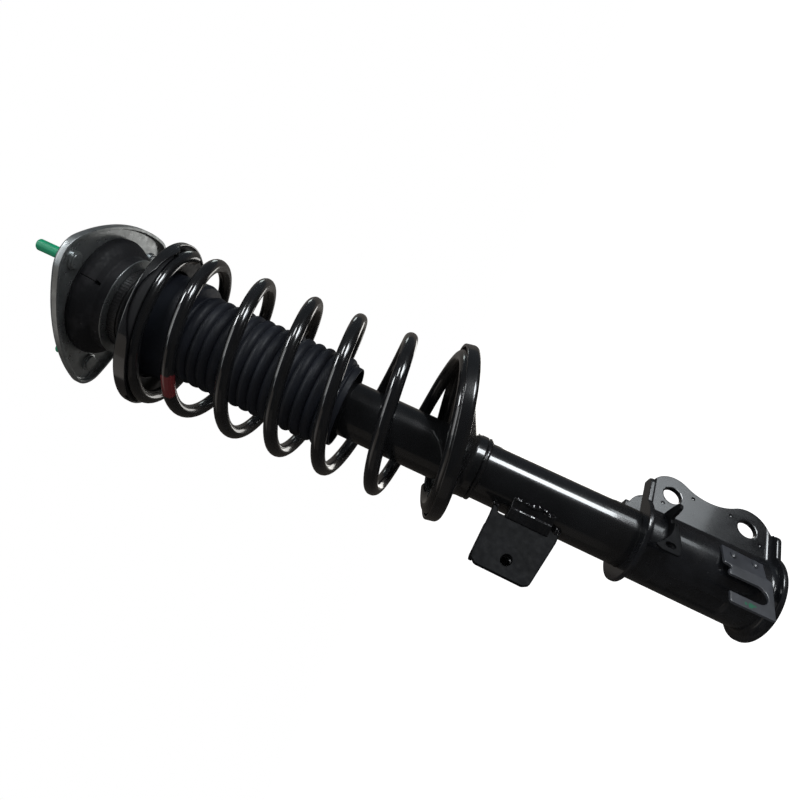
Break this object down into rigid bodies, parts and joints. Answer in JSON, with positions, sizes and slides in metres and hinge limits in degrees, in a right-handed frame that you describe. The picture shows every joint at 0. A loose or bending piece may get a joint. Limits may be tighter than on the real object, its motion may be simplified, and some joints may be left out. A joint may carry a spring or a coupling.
{
  "type": "strut assembly",
  "caption": "Front suspension strut with damper, coil spring, ribbed dust boot, rubber top mount with studs, swivelling upper seat and clamp bracket for the knuckle.",
  "frame": {"origin": "centre of the stud circle on the top face of the mount plate, where the strut's axis passes through it", "axes": "+Z along the strut's axis towards the studs, +X from the tube towards the knuckle bolt holes, Y across the two ears"},
  "size_m": [0.183, 0.1658, 0.66],
  "materials": {
    "black_paint": "gloss",
    "spring_paint": "gloss",
    "bracket_paint": "satin",
    "zinc": "satin",
    "steel": "machined",
    "rod_chrome": "polished",
    "mount_rubber": "matte",
    "seat_rubber": "satin",
    "boot_rubber": "satin",
    "foam": "matte",
    "race_plastic": "matte",
    "cage_plastic": "matte",
    "sleeve_green": "gloss",
    "band": "matte",
    "bronze": "satin",
    "cast": "satin"
  },
  "bodies": {
    "top_mount": {"mount_plate": "zinc", "mount_studs": "zinc", "stud_sleeves": "sleeve_green", "mount_rubber": "mount_rubber", "mount_cup": "zinc", "mount_sleeve": "steel", "mount_washer": "zinc", "rod_nut": "zinc", "upper_race": "race_plastic", "piston_rod": "rod_chrome", "stopper_cup": "zinc", "bump_stopper": "foam", "rebound_stop": "steel", "piston": "cast", "piston_band": "band", "piston_valve": "steel", "piston_nut": "steel"},
    "upper_seat": {"lower_race": "race_plastic", "upper_spring_seat": "black_paint", "spring_insulator": "seat_rubber", "dust_boot": "boot_rubber", "coil_spring": "spring_paint"},
    "ball_cage": {"bearing_cage": "cage_plastic", "bearing_balls": "steel"},
    "strut_body": {"strut_tube": "black_paint", "tube_cap": "race_plastic", "rod_seal": "seat_rubber", "rod_guide": "cast", "guide_bush": "bronze", "inner_tube": "steel", "base_valve": "cast", "base_cup": "black_paint", "lower_spring_seat": "black_paint", "seat_weld": "black_paint", "knuckle_bracket": "bracket_paint", "wire_bracket": "bracket_paint", "hose_bracket": "bracket_paint", "link_bracket": "black_paint", "link_nut": "zinc", "bracket_welds": "black_paint"}
  },
  "joints": [
    {"name": "steer_swivel", "type": "hinge", "parent": "top_mount", "child": "upper_seat", "pos_m": [0, 0, -0.03875], "axis": [0, 0, 1], "continuous": true},
    {"name": "cage_turn", "type": "hinge", "parent": "top_mount", "child": "ball_cage", "pos_m": [0, 0, -0.03875], "axis": [0, 0, 1], "continuous": true},
    {"name": "strut_stroke", "type": "slide", "parent": "upper_seat", "child": "strut_body", "axis": [0, 0, 1], "range_m": [0, 0.15], "stiffness_N_per_m": 25000, "springref_m": -0.05, "deforming": ["coil_spring", "dust_boot", "bump_stopper"]}
  ],
  "couplings": [
    {"joint": "cage_turn", "follows": "steer_swivel", "ratio": 0.5}
  ]
}
